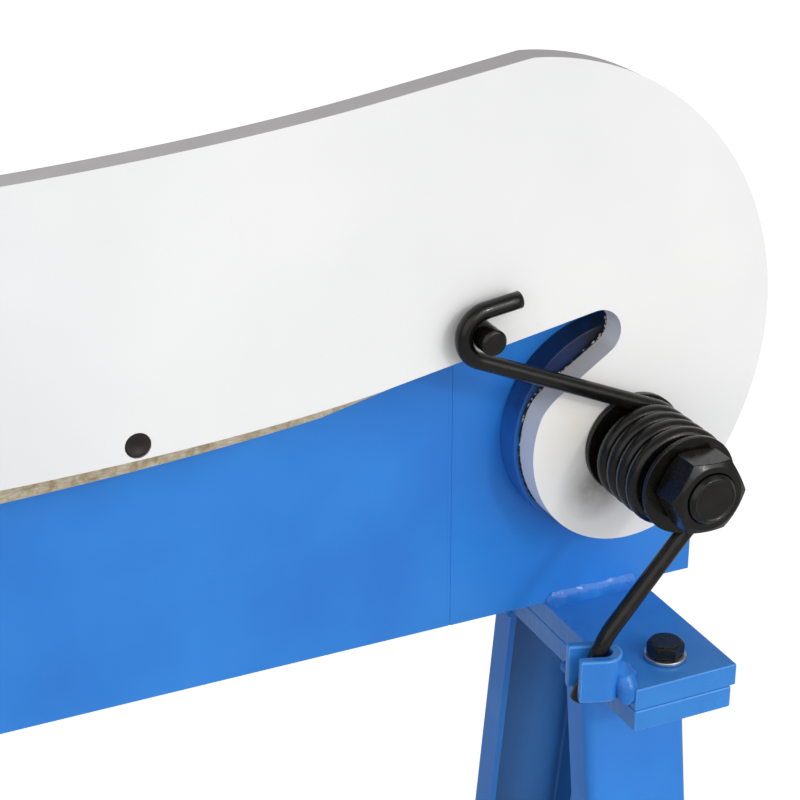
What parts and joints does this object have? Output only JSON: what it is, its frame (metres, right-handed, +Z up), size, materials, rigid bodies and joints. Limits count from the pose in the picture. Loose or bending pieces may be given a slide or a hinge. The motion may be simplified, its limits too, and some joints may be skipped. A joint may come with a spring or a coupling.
{
  "type": "guillotine shear",
  "caption": "Hand-lever guillotine shear for sheet metal: sprung swing arm with a curved knife over a plate beam, table, hold-down bar and back gauge on a splayed stand.",
  "frame": {"origin": "on the floor, under the middle of the machine's outline", "axes": "+X along the beam towards the pivot, +Y towards the work table, +Z up"},
  "size_m": [1.4384, 0.475, 1.0814],
  "materials": {
    "blue_enamel": "semi-gloss enamel",
    "white_enamel": "satin enamel",
    "black_oxide": "oiled black oxide",
    "tool_steel": "ground, lightly tarnished",
    "zinc_plate": "zinc plated",
    "bright_steel": "drawn and oiled",
    "rubber": "matte",
    "black_plastic": "moulded, satin"
  },
  "bodies": {
    "frame": {"beam_plate": "blue_enamel", "end_plate": "blue_enamel", "knife_seat": "blue_enamel", "pivot_spacer": "blue_enamel", "spring_lug": "blue_enamel", "foot_plate_left": "blue_enamel", "foot_plate_right": "blue_enamel", "stand_top_left": "blue_enamel", "stand_top_right": "blue_enamel", "leg_left_front": "blue_enamel", "leg_left_back": "blue_enamel", "leg_right_front": "blue_enamel", "leg_right_back": "blue_enamel", "end_brace_left": "blue_enamel", "end_brace_right": "blue_enamel", "tie_bar_front": "blue_enamel", "tie_bar_back": "blue_enamel", "table_plate": "blue_enamel", "table_bracket_left": "blue_enamel", "table_bracket_right": "blue_enamel", "arm_stop": "blue_enamel", "lower_knife_bolt_1": "black_oxide", "lower_knife_bolt_2": "black_oxide", "lower_knife_bolt_3": "black_oxide", "pivot_bolt": "black_oxide", "inner_washer": "black_oxide", "outer_washer": "black_oxide", "pivot_nut": "black_oxide", "torsion_spring": "black_oxide", "foot_bolt_left_front": "black_oxide", "foot_bolt_left_back": "black_oxide", "foot_bolt_right_front": "black_oxide", "foot_bolt_right_back": "black_oxide", "foot_washer_left_front": "zinc_plate", "foot_washer_left_back": "zinc_plate", "foot_washer_right_front": "zinc_plate", "foot_washer_right_back": "zinc_plate", "hold_down_stud_left": "zinc_plate", "hold_down_stud_right": "zinc_plate", "side_fence": "bright_steel", "gauge_rod_left": "bright_steel", "gauge_rod_right": "bright_steel", "lower_knife": "tool_steel", "stop_buffer": "rubber"},
    "arm": {"arm_plate": "white_enamel", "upper_knife": "tool_steel", "knife_screw_1": "black_oxide", "knife_screw_2": "black_oxide", "knife_screw_3": "black_oxide", "spring_pin": "black_oxide", "handle_bar": "black_oxide", "handle_grip": "rubber", "handle_screw_1": "black_oxide", "handle_screw_2": "black_oxide"},
    "hold_down": {"hold_down_bar": "blue_enamel"},
    "knob_left": {"hold_down_knob_left": "black_plastic"},
    "knob_right": {"hold_down_knob_right": "black_plastic"},
    "back_gauge": {"gauge_plate": "blue_enamel"},
    "thumb_screw_left": {"gauge_screw_left": "black_oxide"},
    "thumb_screw_right": {"gauge_screw_right": "black_oxide"}
  },
  "joints": [
    {"name": "arm_pivot", "type": "hinge", "parent": "frame", "child": "arm", "pos_m": [0.65985, 0.0275, 0.76], "axis": [0, 1, 0], "range_deg": [0, 26], "stiffness_Nm_per_rad": 120, "springref_deg": 33.23, "deforming": ["torsion_spring"]},
    {"name": "hold_down_lift", "type": "slide", "parent": "frame", "child": "hold_down", "axis": [0, 0, 1], "range_m": [0, 0.012]},
    {"name": "knob_left_turn", "type": "hinge", "parent": "frame", "child": "knob_left", "pos_m": [-0.01715, 0.0665, 0.8566], "axis": [0, 0, 1], "continuous": true},
    {"name": "knob_right_turn", "type": "hinge", "parent": "frame", "child": "knob_right", "pos_m": [0.36985, 0.0665, 0.8566], "axis": [0, 0, 1], "continuous": true},
    {"name": "back_gauge_slide", "type": "slide", "parent": "frame", "child": "back_gauge", "axis": [0, 1, 0], "range_m": [-0.085, 0.095]},
    {"name": "thumb_screw_left_turn", "type": "hinge", "parent": "back_gauge", "child": "thumb_screw_left", "pos_m": [-0.06015, -0.1085, 0.7363], "axis": [0, 0, 1], "continuous": true},
    {"name": "thumb_screw_right_turn", "type": "hinge", "parent": "back_gauge", "child": "thumb_screw_right", "pos_m": [0.25985, -0.1085, 0.7363], "axis": [0, 0, 1], "continuous": true}
  ]
}
